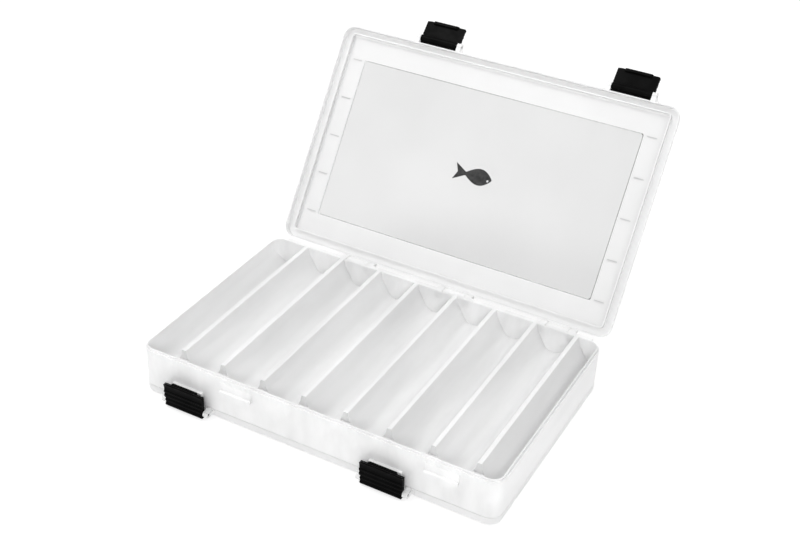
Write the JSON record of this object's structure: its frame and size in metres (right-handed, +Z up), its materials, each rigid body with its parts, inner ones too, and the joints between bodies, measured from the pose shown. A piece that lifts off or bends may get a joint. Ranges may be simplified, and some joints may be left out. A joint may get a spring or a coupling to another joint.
{
  "type": "fishing tackle box",
  "caption": "Double-sided plastic lure box: a tray with a wave-shaped partition, open above and below, with a hinged lid and snap latches on each side.",
  "frame": {"origin": "on the ground, at the centre of the closed box's footprint", "axes": "+X along the length to the right, +Y to the hinge side, +Z up"},
  "size_m": [0.36, 0.3978, 0.2505],
  "materials": {
    "frosted_plastic": "frosted, translucent",
    "black_plastic": "satin black",
    "steel_pin": "plain drawn wire"
  },
  "bodies": {
    "tray": {"catch_lower_left": "frosted_plastic", "catch_lower_right": "frosted_plastic", "catch_upper_left": "frosted_plastic", "catch_upper_right": "frosted_plastic", "hinge_lugs_lower_left": "frosted_plastic", "hinge_lugs_lower_middle": "frosted_plastic", "hinge_lugs_lower_right": "frosted_plastic", "hinge_lugs_upper_left": "frosted_plastic", "hinge_lugs_upper_middle": "frosted_plastic", "hinge_lugs_upper_right": "frosted_plastic", "hinge_pin_lower_left": "steel_pin", "hinge_pin_lower_middle": "steel_pin", "hinge_pin_lower_right": "steel_pin", "hinge_pin_upper_left": "steel_pin", "hinge_pin_upper_middle": "steel_pin", "hinge_pin_upper_right": "steel_pin", "hinge_rails_lower": "frosted_plastic", "hinge_rails_upper": "frosted_plastic", "partition_wall_01": "frosted_plastic", "partition_wall_02": "frosted_plastic", "partition_wall_03": "frosted_plastic", "partition_wall_04": "frosted_plastic", "partition_wall_05": "frosted_plastic", "partition_wall_06": "frosted_plastic", "partition_wall_07": "frosted_plastic", "partition_wall_08": "frosted_plastic", "partition_wall_09": "frosted_plastic", "partition_wall_10": "frosted_plastic", "partition_wall_11": "frosted_plastic", "partition_wall_12": "frosted_plastic", "partition_wall_13": "frosted_plastic", "partition_wall_14": "frosted_plastic", "partition_wall_15": "frosted_plastic", "partition_wall_16": "frosted_plastic", "partition_wall_17": "frosted_plastic", "tray_walls": "frosted_plastic"},
    "lid_upper": {"lid_upper": "frosted_plastic"},
    "lid_lower": {"lid_lower": "frosted_plastic"},
    "latch_upper_left": {"latch_upper_left": "black_plastic"},
    "latch_upper_right": {"latch_upper_right": "black_plastic"},
    "latch_lower_left": {"latch_lower_left": "black_plastic"},
    "latch_lower_right": {"latch_lower_right": "black_plastic"}
  },
  "joints": [
    {"name": "lid_upper_hinge", "type": "hinge", "parent": "tray", "child": "lid_upper", "pos_m": [0, 0.1177, 0.0447], "axis": [1, 0, 0], "range_deg": [0, 124.1]},
    {"name": "lid_lower_hinge", "type": "hinge", "parent": "tray", "child": "lid_lower", "pos_m": [0, 0.1177, 0.0123], "axis": [1, 0, 0], "range_deg": [0, 124.1]},
    {"name": "latch_upper_left_pivot", "type": "hinge", "parent": "lid_upper", "child": "latch_upper_left", "pos_m": [-0.076, 0.25547, 0.23606], "axis": [1, 0, 0], "range_deg": [0, 102]},
    {"name": "latch_upper_right_pivot", "type": "hinge", "parent": "lid_upper", "child": "latch_upper_right", "pos_m": [0.128, 0.25547, 0.23606], "axis": [1, 0, 0], "range_deg": [0, 102]},
    {"name": "latch_lower_left_pivot", "type": "hinge", "parent": "lid_lower", "child": "latch_lower_left", "pos_m": [-0.128, -0.118, 0.0055], "axis": [1, 0, 0], "range_deg": [0, 102]},
    {"name": "latch_lower_right_pivot", "type": "hinge", "parent": "lid_lower", "child": "latch_lower_right", "pos_m": [0.076, -0.118, 0.0055], "axis": [1, 0, 0], "range_deg": [0, 102]}
  ]
}
